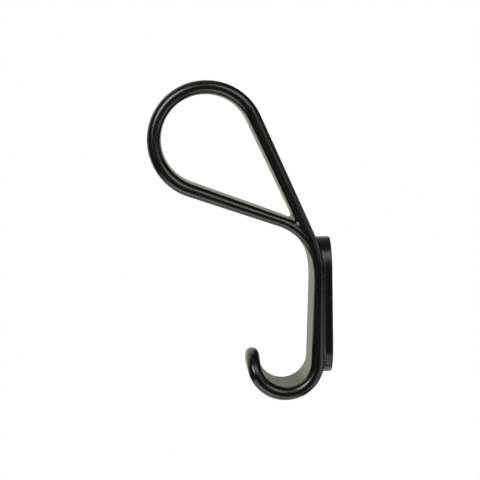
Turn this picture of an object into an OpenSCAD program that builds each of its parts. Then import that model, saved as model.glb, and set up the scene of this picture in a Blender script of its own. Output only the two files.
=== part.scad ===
// Double wall hook: a cast band that closes into a teardrop loop above and an
// open hook below, on a concealed wall bracket that it slides down onto.
//
// X runs along the wall, the wall is the plane Y = 0 and the hook stands out
// towards -Y, and +Z is up. The origin is the centre of the wall face.

/* [Band] */
// Width of the band, along the wall
band_w = 28; // [26:0.5:30]
// Thickness of the band round the loop
loop_t = 6.6; // [6:0.1:7]
// Thickness of the back leg where it runs into the stem
neck_t = 5.4; // [5.2:0.1:5.8]
// Thickness of the front leg where it runs into the stem
front_neck_t = 5.2; // [4.8:0.1:5.2]
// Thickness of the band round the hook
hook_t = 6.9; // [6.4:0.1:7.2]

/* [Loop] */
// Radius of the loop, at the middle of the band
loop_r = 26.1; // [24:0.1:28]
// Distance from the wall to the loop's centre
loop_out = 61.7; // [59:0.1:64]
// Height of the loop's centre above the origin
loop_up = 85.4; // [82:0.1:88]
// Slope of the leg nearer the wall, from the horizontal
back_leg_slope = 66; // [64:0.5:68]
// Slope of the leg away from the wall, from the horizontal
front_leg_slope = 20.3; // [18:0.1:23]
// Radius of the bend from the back leg to the stem
back_bend_r = 58; // [50:1:62]
// Radius of the bend from the front leg to the stem
front_bend_r = 28.7; // [26:0.1:31]

/* [Stem] */
// Distance from the wall to the middle of the stem, at its top
stem_out_top = 6.9; // [6.8:0.1:7.2]
// The same at its foot, where the hook begins
stem_out_foot = 8.1; // [7.8:0.1:8.4]
// Height at which the back leg's bend ends on the stem
stem_top = 15; // [13:0.5:17]

/* [Hook] */
// Radius of the hook, at the middle of the band
hook_r = 16.2; // [15:0.1:17]
// Depth of the hook's centre below the origin
hook_drop = 27.4; // [26:0.1:29]
// Lean of the hook's tip away from the wall
tip_lean = 8; // [6:1:12]
// Length of the straight tip
tip_len = 7.8; // [7.7:0.1:9]
// Corner radius of the tip, seen from the front
tip_corner_r = 7.6; // [7.4:0.1:7.6]

/* [Boss] */
// Width of the boss that covers the bracket
boss_w = 23.4; // [22.6:0.2:24]
// Height of the boss
boss_h = 70; // [69:0.5:71]
// Height of each of its two half-elliptical ends
boss_end_h = 16; // [14:0.5:17]
// Rounding of the edge of the boss along the wall
boss_edge_r = 1; // [0.6:0.1:1.2]

/* [Bracket] */
// Thickness of the bracket plate
plate_t = 3.6; // [3.2:0.1:3.8]
// Width of the bracket plate
plate_w = 11.8; // [11:0.2:12]
// Height of the plate's round top above the origin
plate_top = 31; // [29:0.5:31]
// Height of the plate's foot, which closes the boss underneath
foot_h = 4.3; // [4:0.1:4.6]
// Diameter of the two screw holes
screw_hole_d = 4.5; // [4:0.1:5]
// Diameter of their countersinks
countersink_d = 8.6; // [8:0.1:9]
// Distance between the two screw holes
screw_spacing = 36; // [32:1:38]

/* [Dovetail] */
// Width of the bracket's ears against the wall
ear_back_w = 12.2; // [12.1:0.1:12.4]
// Width of the bracket's ears at the front
ear_front_w = 15.8; // [15.4:0.2:15.8]
// Height of each ear
ear_h = 9.6; // [8:0.2:9.8]
// Height of the upper ears' middle above the origin
upper_ear_up = 13; // [12:0.5:14]
// Depth of the lower ears' middle below the origin
lower_ear_drop = 21; // [20.5:0.5:21.5]
// Play between the bracket and the boss
play = 0.15; // [0.1:0.05:0.2]

/* [Lock screw] */
// Thread diameter of the set screw
lock_d = 3; // [2.5:0.5:3]
// Length of the set screw
lock_len = 4; // [3.8:0.1:4]
// Width across the flats of its socket
lock_socket = 1.5; // [1.3:0.1:1.5]

/* [Hidden] */
$fn = 64;

hook_coat = "#1c1c1c";
bracket_coat = "#262627";
oxide = "#3a3a3d";
eps = 0.01;         // thickness of a section that only shapes a hull
over = 1;           // how far a cut runs past the face that it opens
lap = 0.4;          // how far a straight run reaches into the bend at its end
inset = 0.03;       // how far below the bend's faces it lies there

// --- The band's middle line, as [y, z] points and unit directions ---------

loop_c = [-loop_out, loop_up];
hook_c = [-stem_out_foot - hook_r, -hook_drop];
stem_foot_p = [-stem_out_foot, -hook_drop];
stem_top_p = [-stem_out_top, stem_top];
stem_up = (stem_top_p - stem_foot_p) / norm(stem_top_p - stem_foot_p);
stem_angle = atan2(stem_up[1], stem_up[0]);

// Where the line through p along d crosses the line through q along e
function crossing(p, d, q, e) = p + d * cross(q - p, e) / cross(d, e);
// The angle of point p about centre c
function bearing(p, c) = atan2(p[1] - c[1], p[0] - c[0]);
// The side of direction d that faces away from the wall
function outward(d) = [-d[1], d[0]];
// Radius of a bend is r where it turns from direction a to direction b
function tangent_len(a, b, r) = r * tan(acos(a * b) / 2);

back_down = [cos(back_leg_slope), -sin(back_leg_slope)];
back_top_p = loop_c + loop_r * [sin(back_leg_slope), cos(back_leg_slope)];
back_corner = crossing(back_top_p, back_down, stem_top_p, stem_up);
back_tangent = tangent_len(back_down, -stem_up, back_bend_r);
back_bend_top = back_corner - back_tangent * back_down;
back_bend_foot = back_corner - back_tangent * stem_up;
back_bend_c = back_bend_foot + back_bend_r * outward(stem_up);

front_down = [cos(front_leg_slope), -sin(front_leg_slope)];
front_top_p = loop_c - loop_r * [sin(front_leg_slope), cos(front_leg_slope)];
front_corner = crossing(front_top_p, front_down, stem_top_p, stem_up);
front_tangent = tangent_len(front_down, -stem_up, front_bend_r);
front_bend_top = front_corner - front_tangent * front_down;
front_bend_foot = front_corner - front_tangent * stem_up;
front_bend_c = front_bend_foot + front_bend_r * outward(stem_up);
front_w = band_w - (neck_t - front_neck_t);     // its end hides inside the stem

tip_start_angle = -180 + tip_lean;
tip_base = hook_c + hook_r * [cos(tip_start_angle), sin(tip_start_angle)];

// --- Boss, bracket and their fit -------------------------------------------

boss_r = boss_w / 2;
boss_end = boss_h / 2 - boss_end_h;    // height at which each end begins
pocket_t = plate_t + play;
pocket_r = ear_front_w / 2 + 2 * play;
pocket_top = plate_top + play / 2;
foot_top = -boss_h / 2 + foot_h;
rim_gap_wall = 0.2;                    // gap over the foot, against the wall
rim_gap_front = 0.9;                   // the same at the front of the foot
ear_zones = [upper_ear_up, -lower_ear_drop];
lip_h = ear_h + 2 * play;
lock_z = -lower_ear_drop;
lock_y = -plate_t / 2;
lock_r = lock_d / 2;
lock_play = 0.05;
lock_sunk = 0.35;                      // depth of the screw's end below the flank
lock_point_len = 0.65;
lock_point_r = 0.55;
lock_socket_depth = 1.4;

// --- Sections and runs of the band -----------------------------------------

// The band's section: a strip w wide with fully rounded edges, thickness along X
module section(t, w = band_w) {
    square([t, w - t], center = true);
    for (side = [-1, 1]) translate([0, side * (w - t) / 2]) circle(d = t);
}

// A straight run from p to q whose thickness changes from tp to tq: a flat core
// between two rounded edges, each an oblique cone that keeps the width constant.
// Its ends reach just inside the bends that it joins.
module straight(p, q, tp, tq, w = band_w) {
    d = (q - p) / norm(q - p);
    len = norm(q - p) + 2 * lap;
    start = p - lap * d;
    t0 = tp - 2 * inset;
    t1 = tq - 2 * inset;
    w0 = w - 2 * inset;
    lean = (t0 - t1) / 2 / len;
    translate([0, start[0], start[1]]) rotate([atan2(-d[0], d[1]), 0, 0]) {
        hull() {
            linear_extrude(eps) square([w0 - t0, t0], center = true);
            translate([0, 0, len - eps])
                linear_extrude(eps) square([w0 - t1, t1], center = true);
        }
        for (side = [-1, 1])
            multmatrix([[1, 0, side * lean, side * (w0 - t0) / 2],
                        [0, 1, 0, 0], [0, 0, 1, 0], [0, 0, 0, 1]])
                cylinder(r1 = t0 / 2, r2 = t1 / 2, h = len);
    }
}

// A bend of the band about centre c, from angle a to angle b
module bend(c, r, a, b, t, w = band_w) {
    translate([0, c[0], c[1]])
        rotate([90, 0, 90])
            rotate_extrude(angle = b - a, start = a)
                translate([r, 0]) section(t, w);
}

// The hook's flat tip: a plate with two round corners and a fully rounded edge
module tip() {
    t = hook_t - 2 * inset;
    w = band_w - 2 * inset;
    r = tip_corner_r - inset;
    rim = r - t / 2;
    corners = tip_len - r;
    translate([0, tip_base[0], tip_base[1]]) rotate([tip_lean, 0, 0]) {
        translate([0, 0, -lap]) linear_extrude(corners + lap) rotate(90) section(t, w);
        translate([0, 0, corners]) {
            for (side = [0, 1]) mirror([side, 0, 0])
                translate([w / 2 - r, 0, 0]) rotate([90, 0, 0])
                    rotate_extrude(angle = 90, start = 0) {
                        translate([0, -t / 2]) square([rim, t]);
                        translate([rim, 0]) circle(d = t);
                    }
            rotate([90, 0, 90]) linear_extrude(w - 2 * r, center = true) {
                translate([-t / 2, 0]) square([t, rim]);
                translate([0, rim]) circle(d = t);
            }
        }
    }
}

module loop_and_legs() {
    bend(loop_c, loop_r, 90 - back_leg_slope, 270 - front_leg_slope, loop_t);
    straight(back_bend_top, back_top_p, neck_t, loop_t);
    bend(back_bend_c, back_bend_r, bearing(back_bend_foot, back_bend_c),
         bearing(back_bend_top, back_bend_c), neck_t);
    straight(front_top_p, front_bend_top, loop_t, front_neck_t, front_w);
    bend(front_bend_c, front_bend_r, bearing(front_bend_foot, front_bend_c),
         bearing(front_bend_top, front_bend_c), front_neck_t, front_w);
}

module stem_and_hook() {
    straight(back_bend_foot, stem_foot_p, neck_t, hook_t);
    bend(hook_c, hook_r, tip_start_angle, stem_angle - 90, hook_t);
    tip();
}

// --- Boss --------------------------------------------------------------------

// Half of the boss's section: radius along X, depth from the wall along Y
module boss_half_section(depth) {
    translate([0, boss_edge_r]) square([boss_r, depth - boss_edge_r]);
    square([boss_r - boss_edge_r, depth]);
    translate([boss_r - boss_edge_r, boss_edge_r]) circle(r = boss_edge_r);
}

// A slab with two half-elliptical ends, lying against the wall
module boss_slab(depth) {
    for (end = [0, 1])
        mirror([0, 0, end]) translate([0, 0, boss_end])
            scale([1, 1, boss_end_h / boss_r])
                rotate([90, 0, 0]) rotate_extrude(angle = 180, start = 0)
                    boss_half_section(depth);
    for (side = [0, 1])
        mirror([side, 0, 0]) mirror([0, 1, 0])
            linear_extrude(2 * boss_end, center = true) boss_half_section(depth);
}

// The space between the wall and the middle of the band, seen from the side
module behind_band() {
    half = boss_h / 2 + over;
    top_out = back_bend_c[0] + sqrt(pow(back_bend_r, 2) - pow(half - back_bend_c[1], 2));
    foot_out = hook_c[0] + sqrt(pow(hook_r, 2) - pow(half - hook_drop, 2));
    rotate([90, 0, 90])
        linear_extrude(boss_w + 2 * over, center = true)
            polygon([[over, half], [top_out, half], back_bend_foot,
                     stem_foot_p, [foot_out, -half], [over, -half]]);
}

module boss() {
    intersection() {
        boss_slab(stem_out_foot + hook_t);
        behind_band();
    }
}

// --- Pocket, lips and the cuts in the boss -----------------------------------

// Outline of an ear or of the slot between two lips, seen from above
module dovetail(back_w, front_w, depth) {
    polygon([[-back_w / 2, 0], [back_w / 2, 0],
             [front_w / 2, -depth], [-front_w / 2, -depth]]);
}

module pocket_outline(r, top) {
    translate([-r, -boss_h]) square([2 * r, boss_h + top - r]);
    translate([0, top - r]) circle(r);
}

// The pocket that takes the bracket, open to the wall and underneath
module pocket() {
    difference() {
        translate([0, over, 0]) rotate([90, 0, 0])
            linear_extrude(pocket_t + over) pocket_outline(pocket_r, pocket_top);
        for (z = ear_zones)
            translate([0, 0, z]) linear_extrude(lip_h, center = true)
                difference() {
                    translate([-boss_r, -pocket_t - over])
                        square([2 * boss_r, pocket_t + 2 * over]);
                    dovetail(ear_back_w + 2 * play, 2 * pocket_r, pocket_t);
                    translate([-ear_back_w / 2 - play, -eps])
                        square([ear_back_w + 2 * play, 2 * over]);
                    translate([-boss_r, -pocket_t - 2 * over])
                        square([2 * boss_r, 2 * over]);
                }
    }
}

// The step that the foot of the bracket fills, its upper edge sloping
module foot_rebate() {
    rotate([90, 0, 90])
        linear_extrude(boss_w + 2 * over, center = true)
            polygon([[over, -boss_h], [over, foot_top + rim_gap_wall],
                     [0, foot_top + rim_gap_wall],
                     [-pocket_t, foot_top + rim_gap_front], [-pocket_t, -boss_h]]);
}

module lock_hole() {
    translate([-boss_r - over, lock_y, lock_z]) rotate([0, 90, 0])
        cylinder(r = lock_r, h = boss_r + over - plate_w / 2);
}

// --- The pieces ----------------------------------------------------------------

module hook_body() {
    color(hook_coat)
        difference() {
            union() {
                boss();
                loop_and_legs();
                stem_and_hook();
            }
            pocket();
            foot_rebate();
            lock_hole();
        }
}

module wall_bracket() {
    color(bracket_coat)
        difference() {
            union() {
                rotate([90, 0, 0]) linear_extrude(plate_t)
                    intersection() {
                        pocket_outline(plate_w / 2, plate_top);
                        translate([-boss_r, foot_top - over]) square(boss_h);
                    }
                for (z = ear_zones)
                    translate([0, 0, z]) linear_extrude(ear_h, center = true)
                        dovetail(ear_back_w, ear_front_w, plate_t);
                intersection() {
                    boss_slab(plate_t);
                    translate([-boss_r, -plate_t, -boss_h / 2])
                        cube([boss_w, plate_t, foot_h]);
                }
            }
            for (z = [-1, 1] * screw_spacing / 2)
                translate([0, 0, z]) rotate([90, 0, 0]) {
                    translate([0, 0, -over]) cylinder(d = screw_hole_d, h = plate_t + 2 * over);
                    translate([0, 0, plate_t - (countersink_d - screw_hole_d) / 2])
                        cylinder(d1 = screw_hole_d, d2 = countersink_d,
                                 h = (countersink_d - screw_hole_d) / 2);
                }
        }
}

module lock_screw() {
    shank = lock_len - lock_point_len;
    color(oxide)
        translate([-boss_r + lock_sunk, lock_y, lock_z]) rotate([0, 90, 0])
            difference() {
                union() {
                    cylinder(r = lock_r - lock_play, h = shank);
                    translate([0, 0, shank])
                        cylinder(r1 = lock_r - lock_play, r2 = lock_point_r, h = lock_point_len);
                }
                translate([0, 0, -over])
                    cylinder(d = lock_socket / cos(30), h = lock_socket_depth + over, $fn = 6);
            }
}

hook_body();
wall_bracket();
lock_screw();
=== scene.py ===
"""A cast double wall hook with a satin black coat, lit like a catalogue photograph.

The visible casting is one smooth surface. It is worked out as a distance field, because its fillets
run between curved bands, and is then meshed, cut out at the back for its bracket and given exact normals.
Lengths in the shape's own description are millimetres in the CAD frame: X along the wall, the wall at
Y = 0 with the hook standing out towards -Y, and Z up.
"""
import math

import bmesh
import bpy
import numpy as np
from mathutils import Matrix, Vector


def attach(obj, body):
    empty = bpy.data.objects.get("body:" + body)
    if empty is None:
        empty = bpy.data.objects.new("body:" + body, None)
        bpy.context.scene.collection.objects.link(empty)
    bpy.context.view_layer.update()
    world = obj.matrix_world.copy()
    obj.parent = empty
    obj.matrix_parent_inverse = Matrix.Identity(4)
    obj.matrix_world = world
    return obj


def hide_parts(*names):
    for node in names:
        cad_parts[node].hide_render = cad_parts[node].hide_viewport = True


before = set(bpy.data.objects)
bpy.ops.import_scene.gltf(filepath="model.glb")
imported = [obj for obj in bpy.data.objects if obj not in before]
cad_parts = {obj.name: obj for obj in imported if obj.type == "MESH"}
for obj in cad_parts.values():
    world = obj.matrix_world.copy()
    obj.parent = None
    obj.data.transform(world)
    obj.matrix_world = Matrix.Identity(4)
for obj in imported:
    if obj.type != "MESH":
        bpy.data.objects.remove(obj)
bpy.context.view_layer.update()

MM = 0.001

# --- The casting's driving dimensions -----------------------------------------

# Band: its width, and its thickness round the loop, at the two legs' lower ends and round the hook
BAND_W = 28.0
LOOP_T, BACK_NECK_T, FRONT_NECK_T, HOOK_T = 6.6, 5.4, 5.2, 6.9

# Loop: its centre as Y and Z, and the slopes of the leg nearer the wall and the leg away from it
LOOP_C, LOOP_R = np.array([-61.7, 85.4]), 26.1
BACK_SLOPE, FRONT_SLOPE = math.radians(66.0), math.radians(20.3)
BACK_BEND_R, FRONT_BEND_R = 58.0, 28.7

# Stem: its distance from the wall at its top and its foot, and the heights of the two
STEM_OUT_TOP, STEM_OUT_FOOT = 6.9, 8.1
STEM_TOP, STEM_FOOT = 15.0, -27.85

# Open hook and its tip, whose corners are round when seen from the front
HOOK_R = 16.2
TIP_LEAN = math.radians(3.0)
TIP_TOP = -21.9
TIP_CORNER_R = 13.6

# Where the two legs meet: the fillet in the loop's crotch and the smaller one in the groove below
# it, and how the front leg's end sinks into the stem
GROOVE_FILLET, CROTCH_FILLET = 1.1, 2.7
FRONT_FADE_LEN, FRONT_FADE_T = 12.0, 3.0

# Boss: its ends are half an ellipse
BOSS_HALF_W, BOSS_HALF_H, BOSS_END_H = 11.7, 35.0, 16.0
BOSS_EDGE_R, BOSS_FILLET = 1.0, 0.9

# Bracket: its plate, its foot, the two pairs of ears that the boss's lips hold, and the play there
PLATE_T, PLATE_TOP, FOOT_H = 3.6, 31.0, 4.3
EAR_BACK_W, EAR_FRONT_W, EAR_H = 12.2, 15.8, 9.6
EAR_HEIGHTS = (13.0, -21.0)
PLAY = 0.15

# What the boss lacks for the bracket, its foot and the set screw
POCKET_DEPTH = PLATE_T + PLAY
POCKET_HALF_W = EAR_FRONT_W / 2 + 2 * PLAY
POCKET_TOP = PLATE_TOP + PLAY / 2
LIP_HALF_W, LIP_HALF_H = EAR_BACK_W / 2 + PLAY, EAR_H / 2 + PLAY
FOOT_TOP = FOOT_H - BOSS_HALF_H
SEAM_GAP_WALL, SEAM_GAP_FRONT = 0.2, 0.9
LOCK_R, LOCK_Y, LOCK_Z = 1.5, -PLATE_T / 2, EAR_HEIGHTS[1]
LOCK_HOLE_END = -7.0

# Grid lines that the surface is meshed on: each place, with the spacing from there to the next.
# They are close where the band's edges, the boss and the crotch are round, and wide on the flats.
GRID_X = [(-15, 0.42), (-10.38, 1.1), (-6, 2.0), (6, 1.1), (10.38, 0.42), (15, 0)]
GRID_Y = [(-92, 0.45), (-24, 0.36), (1, 0)]
GRID_Z = [(-52, 0.45), (22, 0.34), (48, 0.45), (116, 0)]

# Limits of the arithmetic, its lengths in mm
PROBE = 0.02                # half the distance over which a slope is measured
LONGEST_STEP = 0.5          # a point's longest move at a time onto the surface
LEAST_SLOPE = 0.05          # the smallest squared slope that a move is worked out with
ON_SURFACE = 0.02           # a vertex this near the cast surface belongs to it
ALIKE = 0.8                 # least cosine between a smooth face's own normal and those at its vertices
TINY = 1e-9                 # keeps a division clear of zero

# Cutters: how far they run past a face that they open and below the boss, and the points in an arc
CUT_PAST, CUT_BELOW = 1.0, 5.0
POCKET_ARC_POINTS, LOCK_ARC_POINTS = 49, 32


# --- The band's middle line, in the Y-Z plane ------------------------------------


class Run:
    """A straight stretch of band from p to q, its thickness going from t0 to t1."""

    def __init__(self, p, q, t0, t1):
        self.p, self.length = p, np.linalg.norm(q - p)
        self.d = (q - p) / self.length
        self.n = np.array([-self.d[1], self.d[0]])
        self.t0, self.t1 = t0, t1

    def measure(self, y, z):
        """Along the run from p, off it to its left, and the unit vectors of the two."""
        y, z = y - self.p[0], z - self.p[1]
        along = y * self.d[0] + z * self.d[1]
        off = y * self.n[0] + z * self.n[1]
        return along, off, self.d, self.n


class Bend:
    """A round stretch of band about c, from angle a to angle b, both in radians."""

    def __init__(self, c, r, a, b, t0, t1):
        self.c, self.r, self.a, self.turn = c, r, a, b - a
        self.length = abs(self.turn) * r
        self.t0, self.t1 = t0, t1

    def measure(self, y, z):
        """The same four as for a run, along and off the arc."""
        y, z = y - self.c[0], z - self.c[1]
        middle = self.a + self.turn / 2
        swing = np.arctan2(z, y) - middle
        swing -= 2 * np.pi * np.round(swing / (2 * np.pi))
        held = np.clip(swing, -abs(self.turn) / 2, abs(self.turn) / 2)
        angle, way = middle + held, math.copysign(1, self.turn)
        n = np.array([np.cos(angle), np.sin(angle)])
        d = way * np.array([-n[1], n[0]])
        past = y * d[0] + z * d[1]
        along = way * (held + self.turn / 2) * self.r
        return along + past, y * n[0] + z * n[1] - self.r, d, n


def cross(a, b):
    return a[0] * b[1] - a[1] * b[0]


def corner(p, d, q, e):
    """Where the line through p along d meets the line through q along e."""
    return p + d * cross(q - p, e) / cross(d, e)


def rounded_corner(p, d, q, e, r):
    """The two ends and the centre of the bend of radius r that joins direction d to direction e."""
    at = corner(p, d, q, e)
    turn = math.acos(np.clip(d @ e, -1, 1))
    reach = r * math.tan(turn / 2)
    first, last = at - reach * d, at + reach * e
    side = np.sign(cross(d, e))
    return first, last, first + side * r * np.array([-d[1], d[0]])


def bearing(p, c):
    """The angle of point p about centre c."""
    return math.atan2(p[1] - c[1], p[0] - c[0])


def band_lines():
    """The two bands: from the hook's tip up the stem and round the loop, and the loop's front leg."""
    stem_top, stem_foot = np.array([-STEM_OUT_TOP, STEM_TOP]), np.array([-STEM_OUT_FOOT, STEM_FOOT])
    stem_down = (stem_foot - stem_top) / np.linalg.norm(stem_foot - stem_top)

    back_top = LOOP_C + LOOP_R * np.array([math.sin(BACK_SLOPE), math.cos(BACK_SLOPE)])
    back_down = np.array([math.cos(BACK_SLOPE), -math.sin(BACK_SLOPE)])
    back_a, back_b, back_c = rounded_corner(back_top, back_down, stem_top, stem_down, BACK_BEND_R)

    front_top = LOOP_C - LOOP_R * np.array([math.sin(FRONT_SLOPE), math.cos(FRONT_SLOPE)])
    front_down = np.array([math.cos(FRONT_SLOPE), -math.sin(FRONT_SLOPE)])
    front_a, front_b, front_c = rounded_corner(front_top, front_down, stem_top, stem_down, FRONT_BEND_R)

    hook_c = stem_foot + HOOK_R * np.array([stem_down[1], -stem_down[0]])
    hook_end = -math.pi + TIP_LEAN
    tip_base = hook_c + HOOK_R * np.array([math.cos(hook_end), math.sin(hook_end)])
    tip_up = np.array([-math.sin(TIP_LEAN), math.cos(TIP_LEAN)])
    tip_end = tip_base + tip_up * (TIP_TOP - tip_base[1]) / tip_up[1]

    hook = [
        Bend(hook_c, HOOK_R, bearing(stem_foot, hook_c), hook_end, HOOK_T, HOOK_T),
        Run(tip_base, tip_end, HOOK_T, HOOK_T),
    ]
    main = [
        Run(back_b, stem_foot, BACK_NECK_T, HOOK_T),
        Bend(back_c, BACK_BEND_R, bearing(back_a, back_c), bearing(back_b, back_c),
             BACK_NECK_T, BACK_NECK_T),
        Run(back_top, back_a, LOOP_T, BACK_NECK_T),
        Bend(LOOP_C, LOOP_R, math.pi / 2 - BACK_SLOPE, 1.5 * math.pi - FRONT_SLOPE, LOOP_T, LOOP_T),
    ]
    front = [
        Run(front_top, front_a, LOOP_T, FRONT_NECK_T),
        Bend(front_c, FRONT_BEND_R, bearing(front_a, front_c), bearing(front_b, front_c),
             FRONT_NECK_T, FRONT_NECK_T),
        Run(front_b, front_b + FRONT_FADE_LEN * stem_down, FRONT_NECK_T, FRONT_FADE_T),
    ]
    return hook, main, front


# --- The casting as a distance field ------------------------------------------------


def excess(x, half_w):
    """How far a place on either side of zero is past half_w."""
    return np.maximum(np.abs(x) - half_w, 0)


def stretch_field(part, x, y, z):
    """Distance to one stretch with fully rounded edges, and the direction away from its middle."""
    along, off, d, n = part.measure(y, z)
    held = np.clip(along, 0, part.length)
    half_t = (part.t0 + (part.t1 - part.t0) * held / part.length) / 2
    past, wide = along - held, excess(x, BAND_W / 2 - half_t)
    return field_and_direction(x, wide, past, off, d, n, half_t)


def tip_field(parts, x, y, z):
    """The same for the open hook, whose last stretch ends in a round seen from the front."""
    total = sum(part.length for part in parts)
    fields, done = [], 0.0
    for part in parts:
        along, off, d, n = part.measure(y, z)
        last = part is parts[-1]
        half_t = part.t1 / 2
        past = np.minimum(along, 0) if last else along - np.clip(along, 0, part.length)
        into_end = np.maximum(done + along - (total - TIP_CORNER_R), 0)
        aside = excess(x, BAND_W / 2 - TIP_CORNER_R)
        round_end = np.maximum(np.hypot(aside, into_end) - (TIP_CORNER_R - half_t), 0)
        wide = np.where(into_end > 0, round_end, excess(x, BAND_W / 2 - half_t))
        fields.append(field_and_direction(x, wide, past, off, d, n, half_t))
        done += part.length
    return nearest(fields)


def field_and_direction(x, wide, past, off, d, n, half_t):
    """Distance to a round of radius half_t, from the offsets to its middle, and the way out of it."""
    reach = np.sqrt(wide**2 + past**2 + off**2)
    scale = 1 / np.maximum(reach, TINY)
    away = np.array([np.sign(x) * wide, past * d[0] + off * n[0], past * d[1] + off * n[1]]) * scale
    return reach - half_t, away


def nearest(fields):
    """Union of fields, with the direction that goes with the nearest one."""
    best, away = fields[0]
    for field, direction in fields[1:]:
        closer = field < best
        best, away = np.where(closer, field, best), np.where(closer, direction, away)
    return best, away


def filleted(a, b, r):
    """Union of two fields, with a fillet of radius r where their surfaces meet."""
    return np.maximum(r, np.minimum(a, b)) - np.hypot(np.maximum(r - a, 0), np.maximum(r - b, 0))


def boss_field(x, y, z, behind):
    """The boss: a slab behind the band's middle, with half-elliptical ends and a round edge at the wall."""
    aside = np.maximum(np.abs(x), TINY)
    into_end = excess(z, BOSS_HALF_H - BOSS_END_H)
    level = np.hypot(aside / BOSS_HALF_W, into_end / BOSS_END_H)
    slope = np.hypot(aside / BOSS_HALF_W**2, into_end / BOSS_END_H**2)
    outline = level * (level - 1) / slope
    u, v = outline + BOSS_EDGE_R, y + BOSS_EDGE_R
    slab = np.minimum(np.maximum(u, v), 0) + np.hypot(np.maximum(u, 0), np.maximum(v, 0)) - BOSS_EDGE_R
    return np.maximum(slab, behind)


HOOK, MAIN, FRONT = band_lines()


def in_front_of_band(y, z):
    """How far a point is in front of the middle of the stem and the hook."""
    _, stem_off, _, _ = MAIN[0].measure(y, z)
    _, back_off, _, _ = MAIN[1].measure(y, z)
    _, hook_off, _, _ = HOOK[0].measure(y, z)
    in_hook = np.maximum(-hook_off, HOOK[0].c[0] - y)
    return np.where(z > STEM_TOP, -back_off, np.where(z > STEM_FOOT, -stem_off, in_hook))


def casting_field(p):
    """Distance to the whole casting. The bands' fillet grows with how squarely they face each other."""
    x, y, z = p
    main, main_away = nearest([tip_field(HOOK, x, y, z)] + [stretch_field(s, x, y, z) for s in MAIN])
    front, front_away = nearest([stretch_field(s, x, y, z) for s in FRONT])
    facing = np.clip(1 - (main_away * front_away).sum(axis=0), 0, 1)
    bands = filleted(main, front, GROOVE_FILLET * facing + (CROTCH_FILLET - GROOVE_FILLET) * facing**4)
    return filleted(bands, boss_field(x, y, z, in_front_of_band(y, z)), BOSS_FILLET)


def gradient(p):
    """The casting field's slope at the points."""
    g = np.zeros_like(p)
    for axis in range(3):
        ahead, back = p.copy(), p.copy()
        ahead[axis] += PROBE
        back[axis] -= PROBE
        g[axis] = (casting_field(ahead) - casting_field(back)) / (2 * PROBE)
    return g


def settle(p, rounds=4):
    """Moves points onto the casting's surface, in steps that are never long."""
    for _ in range(rounds):
        g = gradient(p)
        step = np.clip(casting_field(p), -LONGEST_STEP, LONGEST_STEP)
        p = p - step * g / np.maximum((g**2).sum(axis=0), LEAST_SLOPE)
    return p


def grid_lines(stops):
    """The places of all grid lines across one axis."""
    lines = []
    for (start, spacing), (end, _) in zip(stops, stops[1:]):
        lines.append(np.linspace(start, end, round((end - start) / spacing), endpoint=False))
    return np.append(np.concatenate(lines), stops[-1][0])


CELL_CORNERS = [(i, j, k) for i in (0, 1) for j in (0, 1) for k in (0, 1)]


def at_corner(a, offset):
    """What the grid array a holds at each cell's corner with that offset."""
    return a[tuple(slice(o, size - 1 + o) for o, size in zip(offset, a.shape))]


def sampled_field(axes):
    """The casting field at all grid points, worked out one sheet across X at a time."""
    y, z = np.meshgrid(axes[1], axes[2], indexing="ij")
    return np.stack([casting_field(np.array(np.broadcast_arrays(x, y, z))) for x in axes[0]])


def net_points(axes, field):
    """One point in each cell that the surface crosses, and the points' numbers by cell, -1 where none."""
    inside = sum(at_corner(field < 0, offset).astype(np.int8) for offset in CELL_CORNERS)
    mixed = (inside > 0) & (inside < len(CELL_CORNERS))
    total, count = np.zeros((3,) + mixed.shape), np.zeros(mixed.shape)
    for a in CELL_CORNERS:
        for axis in range(3):
            if a[axis]:
                continue
            b = tuple(1 if i == axis else o for i, o in enumerate(a))
            fa, fb = at_corner(field, a), at_corner(field, b)
            crossed = (fa < 0) != (fb < 0)
            t = np.where(crossed, fa / np.where(crossed, fa - fb, 1), 0)
            count += crossed
            for i in range(3):
                total[i] += crossed * (a[i] + (t if i == axis else 0))
    number = np.full(mixed.shape, -1)
    number[mixed] = np.arange(mixed.sum())
    cells = np.array(np.nonzero(mixed))
    where = total[:, mixed] / count[mixed]
    points = np.array([
        axes[i][cells[i]] + where[i] * (axes[i][cells[i] + 1] - axes[i][cells[i]]) for i in range(3)
    ])
    return points, number


def net_quads(solid, number):
    """A quad round each grid edge that the surface crosses, facing out of the solid."""
    quads = []
    for axis in range(3):
        u, v = (axis + 1) % 3, (axis + 2) % 3
        ahead, back = [slice(None)] * 3, [slice(None)] * 3
        ahead[axis], back[axis] = slice(1, None), slice(None, -1)
        crossed = np.array(np.nonzero(solid[tuple(back)] != solid[tuple(ahead)]))
        crossed = crossed[:, (crossed[u] > 0) & (crossed[v] > 0)]
        ring = []
        for du, dv in ((-1, -1), (0, -1), (0, 0), (-1, 0)):
            cell = crossed.copy()
            cell[u] += du
            cell[v] += dv
            ring.append(number[tuple(cell)])
        ring = np.array(ring).T
        leaving = solid[tuple(crossed)]
        quads.append(np.where(leaving[:, None], ring, ring[:, ::-1]))
    return np.concatenate(quads)


def evened(points, quads, rounds=3):
    """Spreads the points evenly over the surface, each one half of the way to its neighbours' mean."""
    ends = np.concatenate([quads[:, [i, (i + 1) % 4]] for i in range(4)])
    ends = np.concatenate([ends, ends[:, ::-1]])
    for _ in range(rounds):
        count = points.shape[1]
        total = np.array([np.bincount(ends[:, 0], axis[ends[:, 1]], count) for axis in points])
        neighbours = np.bincount(ends[:, 0], minlength=count)
        points = settle((points + total / neighbours) / 2, rounds=2)
    return points


# --- Meshes ---------------------------------------------------------------------------


def new_object(name, points, faces):
    """A new mesh object in the scene, with its points in metres."""
    mesh = bpy.data.meshes.new(name)
    mesh.from_pydata([tuple(p) for p in points], [], [tuple(f) for f in faces])
    mesh.update()
    obj = bpy.data.objects.new(name, mesh)
    bpy.context.collection.objects.link(obj)
    return obj


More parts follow.
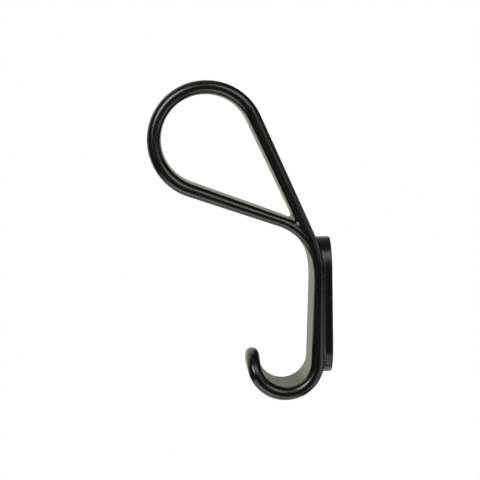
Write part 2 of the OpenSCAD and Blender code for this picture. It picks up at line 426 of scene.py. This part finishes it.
def prism(name, outline, low, high, axis):
    """A prism with that outline, in mm, between two places on axis 0, 1 or 2."""
    n = len(outline)
    points = []
    for level in (low, high):
        for a, b in outline:
            p = [a, b]
            p.insert(axis, level)
            points.append(tuple(MM * v for v in p))
    sides = [(i, (i + 1) % n, n + (i + 1) % n, n + i) for i in range(n)]
    obj = new_object(name, points, [tuple(range(n))[::-1], tuple(range(n, 2 * n))] + sides)
    face_out(obj.data)
    return obj


def face_out(mesh):
    """Turns the faces of a closed mesh so that all of them face out."""
    turned = bmesh.new()
    turned.from_mesh(mesh)
    bmesh.ops.recalc_face_normals(turned, faces=turned.faces)
    turned.to_mesh(mesh)
    turned.free()


def arc_points(c, r, turn, n):
    """n points on the arc of radius r about c, from angle 0 to turn."""
    return [(c[0] + r * math.cos(t), c[1] + r * math.sin(t)) for t in np.linspace(0, turn, n)]


def both_sides(half):
    """An outline that is the same on both sides of zero, from its points on the one side."""
    return [(-a, b) for a, b in half] + [(a, b) for a, b in reversed(half)]


def pocket_cutters():
    """The bracket's pocket, open below: wide with a round top, but undercut at the two pairs of ears."""
    below, arc_z = -BOSS_HALF_H - CUT_BELOW, POCKET_TOP - POCKET_HALF_W
    edges = [below]
    for z in sorted(EAR_HEIGHTS):
        edges += [z - LIP_HALF_H, z + LIP_HALF_H]
    top = [(-POCKET_HALF_W, edges[-1]), (POCKET_HALF_W, edges[-1])]
    top += arc_points((0, arc_z), POCKET_HALF_W, math.pi, POCKET_ARC_POINTS)
    slot = both_sides([(LIP_HALF_W, CUT_PAST), (LIP_HALF_W, 0), (POCKET_HALF_W, -POCKET_DEPTH)])
    wide = both_sides([(POCKET_HALF_W, CUT_PAST), (POCKET_HALF_W, -POCKET_DEPTH)])
    cutters = [
        prism("cut_top", top, -POCKET_DEPTH, CUT_PAST, 1),
        prism("cut_slot", slot, below, arc_z, 2),
    ]
    for i, (low, high) in enumerate(zip(edges[0::2], edges[1::2])):
        cutters.append(prism(f"cut_wide_{i}", wide, low, high, 2))
    return cutters


def foot_cutter():
    """The rebate for the bracket's foot, below a seam that opens towards the front."""
    below, aside = -BOSS_HALF_H - CUT_BELOW, BOSS_HALF_W + CUT_PAST
    seam_wall, seam_front = FOOT_TOP + SEAM_GAP_WALL, FOOT_TOP + SEAM_GAP_FRONT
    foot = [(CUT_PAST, below), (CUT_PAST, seam_wall), (0, seam_wall),
            (-POCKET_DEPTH, seam_front), (-POCKET_DEPTH, below)]
    return prism("cut_foot", foot, -aside, aside, 0)


def lock_cutter():
    """The set screw's hole, from the boss's side to inside the pocket."""
    turn = math.tau * (LOCK_ARC_POINTS - 1) / LOCK_ARC_POINTS
    ring = arc_points((LOCK_Y, LOCK_Z), LOCK_R, turn, LOCK_ARC_POINTS)
    return prism("cut_lock", ring, -BOSS_HALF_W - CUT_PAST, LOCK_HOLE_END, 0)


def cut(obj, cutters):
    """Takes the cutters out of the object, and removes them."""
    for cutter in cutters:
        change = obj.modifiers.new("cut", "BOOLEAN")
        change.operation, change.solver, change.object = "DIFFERENCE", "MANIFOLD", cutter
    done = bpy.data.meshes.new_from_object(obj.evaluated_get(bpy.context.evaluated_depsgraph_get()))
    obj.modifiers.clear()
    old, obj.data = obj.data, done
    bpy.data.meshes.remove(old)
    done.materials.clear()
    for cutter in cutters:
        bpy.data.objects.remove(cutter)


def rows_of(items, attribute, width=1, kind=float):
    """One attribute of all items, with a row of that width for each item."""
    values = np.empty(width * len(items), dtype=kind)
    items.foreach_get(attribute, values)
    return values.reshape(-1, width)


def set_exact_normals(mesh):
    """Smooth normals from the field on the cast surface, and flat ones where the back is cut out."""
    p = rows_of(mesh.vertices, "co", 3).T / MM
    smooth = gradient(p)
    smooth = (smooth / np.maximum(np.linalg.norm(smooth, axis=0), TINY)).T
    on_cast = np.abs(casting_field(p)) < ON_SURFACE
    flat = rows_of(mesh.polygons, "normal", 3)
    size = rows_of(mesh.polygons, "loop_total", kind=int).ravel()
    vertex = rows_of(mesh.loops, "vertex_index", kind=int).ravel()
    face = np.repeat(np.arange(len(size)), size)
    agree = (smooth[vertex] * flat[face]).sum(axis=1) > ALIKE
    cast = np.bincount(face, on_cast[vertex] & agree, len(size)) == size
    normals = np.where(cast[face][:, None], smooth[vertex], flat[face])
    mesh.polygons.foreach_set("use_smooth", [True] * len(size))
    mesh.normals_split_custom_set([tuple(n) for n in normals])


def make_casting():
    """The whole casting, meshed from its field and then cut out at the back."""
    axes = [grid_lines(stops) for stops in (GRID_X, GRID_Y, GRID_Z)]
    field = sampled_field(axes)
    points, number = net_points(axes, field)
    quads = net_quads(field < 0, number)
    points = evened(settle(points), quads)
    obj = new_object("casting", points.T * MM, quads)
    cut(obj, pocket_cutters() + [foot_cutter(), lock_cutter()])
    set_exact_normals(obj.data)
    return obj


casting = make_casting()
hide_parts("hook_body")
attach(casting, "hook")


# --- Materials ----------------------------------------------------------------------

# Black powder coat: its mottle and its roughness, then the sizes and depths of its relief in mm
COAT_DARK, COAT_LIGHT = (0.0015, 0.0015, 0.0014), (0.003, 0.003, 0.0028)
BRACKET_LIGHT = (0.004, 0.004, 0.0038)
COAT_IOR, COAT_ROUGHNESS, COAT_UNEVEN = 1.5, 0.25, 0.025
MOTTLE_SIZE = 6
WAVE_SIZE, WAVE_DEPTH = 9, 0.006
PEEL_SIZE, PEEL_DEPTH = 1.2, 0.0006

# Blackened steel, and the turning marks on it in mm
OXIDE_DARK, OXIDE_RUBBED = (0.012, 0.012, 0.014), (0.11, 0.11, 0.115)
OXIDE_METAL, OXIDE_ROUGHNESS, RUBBED_ROUGHNESS = 0.85, 0.42, 0.3
RUBBED_SIZE = 0.7
TURNING_PITCH, TURNING_DEPTH = 0.12, 0.004
RINGS_PER_SCALE = math.tau / 20      # a wave texture's period, in metres, at a scale of 1


class Graph:
    """A material's nodes, all working from the object's own coordinates in metres."""

    def __init__(self, name):
        self.material = bpy.data.materials.new(name)
        self.material.use_nodes = True
        self.tree = self.material.node_tree
        self.shader = self.tree.nodes["Principled BSDF"]
        self.place = self.tree.nodes.new("ShaderNodeTexCoord").outputs["Object"]

    def node(self, kind, **inputs):
        """A new node, with its inputs fed by name."""
        made = self.tree.nodes.new(kind)
        for name, value in inputs.items():
            self.feed(made.inputs[name.replace("_", " ")], value)
        return made

    def feed(self, socket, value):
        """Links a socket to another one, or sets it to a value."""
        if isinstance(value, bpy.types.NodeSocket):
            self.tree.links.new(value, socket)
        else:
            socket.default_value = value

    def noise(self, size, detail=2.0, roughness=0.5):
        """Noise whose lumps are about size mm across."""
        made = self.node("ShaderNodeTexNoise", Scale=1 / (size * MM), Detail=detail, Roughness=roughness)
        self.feed(made.inputs["Vector"], self.place)
        return made.outputs["Fac"]

    def spread(self, value, low, high, start=0.3, end=0.7):
        """Takes value from start..end, where most of a noise lies, to low..high."""
        made = self.node("ShaderNodeMapRange")
        for name, number in (("Value", value), ("From Min", start), ("From Max", end),
                             ("To Min", low), ("To Max", high)):
            self.feed(made.inputs[name], number)
        return made.outputs["Result"]

    def blend(self, share, first, second):
        """A colour between the first and the second. The mix node's colour sockets go by number."""
        made = self.node("ShaderNodeMix")
        made.data_type = "RGBA"
        self.feed(made.inputs["Factor"], share)
        self.feed(made.inputs[6], (*first, 1))
        self.feed(made.inputs[7], (*second, 1))
        return made.outputs[2]

    def bump(self, height, depth, strength, under=None):
        """A bump of that depth in mm."""
        made = self.node("ShaderNodeBump", Strength=strength, Distance=depth * MM, Height=height)
        if under is not None:
            self.feed(made.inputs["Normal"], under)
        return made.outputs["Normal"]


def satin_coat(name, light):
    """A black powder coat: slightly mottled, with fine orange peel over the casting's faint waves."""
    g = Graph(name)
    mottle = g.noise(MOTTLE_SIZE, detail=4, roughness=0.6)
    g.feed(g.shader.inputs["Base Color"], g.blend(g.spread(mottle, 0, 1), COAT_DARK, light))
    uneven = g.spread(mottle, COAT_ROUGHNESS - COAT_UNEVEN, COAT_ROUGHNESS + COAT_UNEVEN)
    g.feed(g.shader.inputs["Roughness"], uneven)
    g.shader.inputs["IOR"].default_value = COAT_IOR
    waves = g.bump(g.noise(WAVE_SIZE, detail=1), WAVE_DEPTH, 1)
    peel = g.bump(g.noise(PEEL_SIZE, detail=2), PEEL_DEPTH, 1, under=waves)
    g.feed(g.shader.inputs["Normal"], peel)
    return g.material


def black_oxide(name):
    """Blackened steel with turning marks round the set screw's axis, rubbed paler in places."""
    g = Graph(name)
    from_axis = g.node("ShaderNodeVectorMath")
    from_axis.operation = "SUBTRACT"
    g.feed(from_axis.inputs[0], g.place)
    g.feed(from_axis.inputs[1], (0, LOCK_Y * MM, LOCK_Z * MM))
    scale = RINGS_PER_SCALE / (TURNING_PITCH * MM)
    rings = g.node("ShaderNodeTexWave", Scale=scale, Distortion=0.6, Detail=1)
    rings.wave_type, rings.rings_direction = "RINGS", "X"
    g.feed(rings.inputs["Vector"], from_axis.outputs["Vector"])
    rubbed = g.noise(RUBBED_SIZE, detail=4, roughness=0.7)
    share = g.spread(rubbed, 0, 1, 0.5, 0.75)
    g.feed(g.shader.inputs["Base Color"], g.blend(share, OXIDE_DARK, OXIDE_RUBBED))
    g.feed(g.shader.inputs["Roughness"], g.spread(rubbed, OXIDE_ROUGHNESS, RUBBED_ROUGHNESS))
    g.shader.inputs["Metallic"].default_value = OXIDE_METAL
    g.feed(g.shader.inputs["Normal"], g.bump(rings.outputs["Fac"], TURNING_DEPTH, 0.6))
    return g.material


def dress(obj, material):
    """Gives the object that one material."""
    obj.data.materials.clear()
    obj.data.materials.append(material)


dress(casting, satin_coat("satin_coat", COAT_LIGHT))
dress(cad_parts["wall_bracket"], satin_coat("bracket_coat", BRACKET_LIGHT))
dress(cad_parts["lock_screw"], black_oxide("black_oxide"))

# --- Floor, light and camera -----------------------------------------------------------

# Everything below is in metres. The camera stands off along +X and looks at the hook from its side.
SUBJECT = Vector((0, -0.04, 0.03))
LAMP_DISTANCE = 1.5
CAMERA_AT, CAMERA_AHEAD = Vector((0.5580, -0.0737, 0.0993)), Vector((-0.992, 0.04985, -0.11575))
CAMERA_ROLL, CAMERA_LENS, CAMERA_SENSOR = math.radians(-1.208), 82.95, 36.0

# Papers: their tints and radiances, the floor's edges, where the upright ones end as X and Y, and
# their heights
FLOOR_TINT, WARM = (0.96, 1.0, 0.9), (1.0, 0.985, 0.83)
FLOOR_GLOW, BACK_GLOW, TOP_GLOW, LEFT_GLOW = 1.2, 0.59, 1.2, 1.3
BACK_X, FRONT_X, LEFT_Y, RIGHT_Y = -1.2, 1.4, -1.7, 0.5
LEFT_END, BACK_LEFT = (-0.2, -1.2), (BACK_X, -0.37)
BACK_RIGHT, TOP_RIGHT = (BACK_X, 0.35), (BACK_X, 0.25)
FLOOR_Z, PAPER_Z, TOP_PAPER_Z, LEFT_TOP_Z, TOP_Z = -1.3, -0.42, 0.45, 1.6, 3.0

ROOM_GREY = 0.045


def towards(azimuth, elevation):
    """The direction with that azimuth, from +X towards +Y, and elevation, in degrees."""
    a, e = math.radians(azimuth), math.radians(elevation)
    return Vector((math.cos(a) * math.cos(e), math.sin(a) * math.cos(e), math.sin(e)))


def soft_box(name, azimuth, elevation, wide, tall, radiance):
    """A soft box that faces the hook, its width and height in degrees as seen from there."""
    lamp = bpy.data.lights.new(name, "AREA")
    lamp.shape = "RECTANGLE"
    lamp.size = 2 * LAMP_DISTANCE * math.tan(math.radians(wide / 2))
    lamp.size_y = 2 * LAMP_DISTANCE * math.tan(math.radians(tall / 2))
    lamp.energy = radiance * math.pi * lamp.size * lamp.size_y
    box = bpy.data.objects.new(name, lamp)
    bpy.context.collection.objects.link(box)
    way = towards(azimuth, elevation)
    box.location = SUBJECT + way * LAMP_DISTANCE
    box.rotation_euler = way.to_track_quat("Z", "Y").to_euler()
    box.visible_camera = False


def paper(name, corners, radiance, tint):
    """Paper that glows evenly and that the camera doesn't see."""
    sheet = new_object(name, corners, [(0, 1, 2, 3)])
    material = bpy.data.materials.new(name)
    material.use_nodes = True
    tree = material.node_tree
    tree.nodes.clear()
    glow = tree.nodes.new("ShaderNodeEmission")
    glow.inputs["Color"].default_value = (*tint, 1)
    glow.inputs["Strength"].default_value = radiance
    tree.links.new(glow.outputs[0], tree.nodes.new("ShaderNodeOutputMaterial").inputs["Surface"])
    sheet.data.materials.append(material)
    sheet.visible_camera = False


def upright(name, start, end, low, high, radiance):
    """A sheet of warm paper standing between two places on the floor's plan."""
    corners = [(*start, low), (*end, low), (*end, high), (*start, high)]
    paper(name, corners, radiance, WARM)


def make_room():
    """White to the camera, and a dark grey to everything else."""
    world = bpy.data.worlds.new("studio")
    bpy.context.scene.world = world
    world.use_nodes = True
    tree = world.node_tree
    room = tree.nodes["Background"]
    room.inputs["Color"].default_value = (ROOM_GREY, ROOM_GREY, ROOM_GREY, 1)
    white = tree.nodes.new("ShaderNodeBackground")
    white.inputs["Color"].default_value = (1, 1, 1, 1)
    either = tree.nodes.new("ShaderNodeMixShader")
    tree.links.new(tree.nodes.new("ShaderNodeLightPath").outputs["Is Camera Ray"], either.inputs["Fac"])
    tree.links.new(room.outputs[0], either.inputs[1])
    tree.links.new(white.outputs[0], either.inputs[2])
    tree.links.new(either.outputs[0], tree.nodes["World Output"].inputs["Surface"])


def make_camera():
    """The camera, where the photograph was worked out to have been taken from."""
    cam = bpy.data.cameras.new("camera")
    camera = bpy.data.objects.new("camera", cam)
    bpy.context.collection.objects.link(camera)
    bpy.context.scene.camera = camera
    cam.lens, cam.sensor_width = CAMERA_LENS, CAMERA_SENSOR
    turn = CAMERA_AHEAD.to_track_quat("-Z", "Y").to_matrix().to_4x4()
    turn = turn @ Matrix.Rotation(CAMERA_ROLL, 4, "Z")
    camera.matrix_world = Matrix.Translation(CAMERA_AT) @ turn


# Each lamp's azimuth and elevation, its width and height in degrees, and its radiance
soft_box("key", -27, 25, 22, 28, 9.8)
soft_box("second", 30, 33, 36, 28, 3.3)
soft_box("bridge", 0, 35, 24, 24, 0.4)
soft_box("low", -34, -62, 42, 44, 2.0)
soft_box("side_low", 70, -33, 58, 42, 1.2)
soft_box("side_high", 72, 10, 100, 18, 0.6)
soft_box("side_back", 122, 8, 44, 22, 0.35)
soft_box("overhead", -140, 78, 50, 50, 0.25)

floor_plan = [(BACK_X, LEFT_Y), (FRONT_X, LEFT_Y), (FRONT_X, RIGHT_Y), (BACK_X, RIGHT_Y)]
paper("floor", [(x, y, FLOOR_Z) for x, y in floor_plan], FLOOR_GLOW, FLOOR_TINT)
upright("backdrop", BACK_LEFT, BACK_RIGHT, PAPER_Z, TOP_PAPER_Z, BACK_GLOW)
upright("backdrop_top", BACK_LEFT, TOP_RIGHT, TOP_PAPER_Z, TOP_Z, TOP_GLOW)
upright("backdrop_left", LEFT_END, BACK_LEFT, PAPER_Z, LEFT_TOP_Z, LEFT_GLOW)

make_room()
make_camera()

bpy.context.scene.view_settings.view_transform = "Standard"
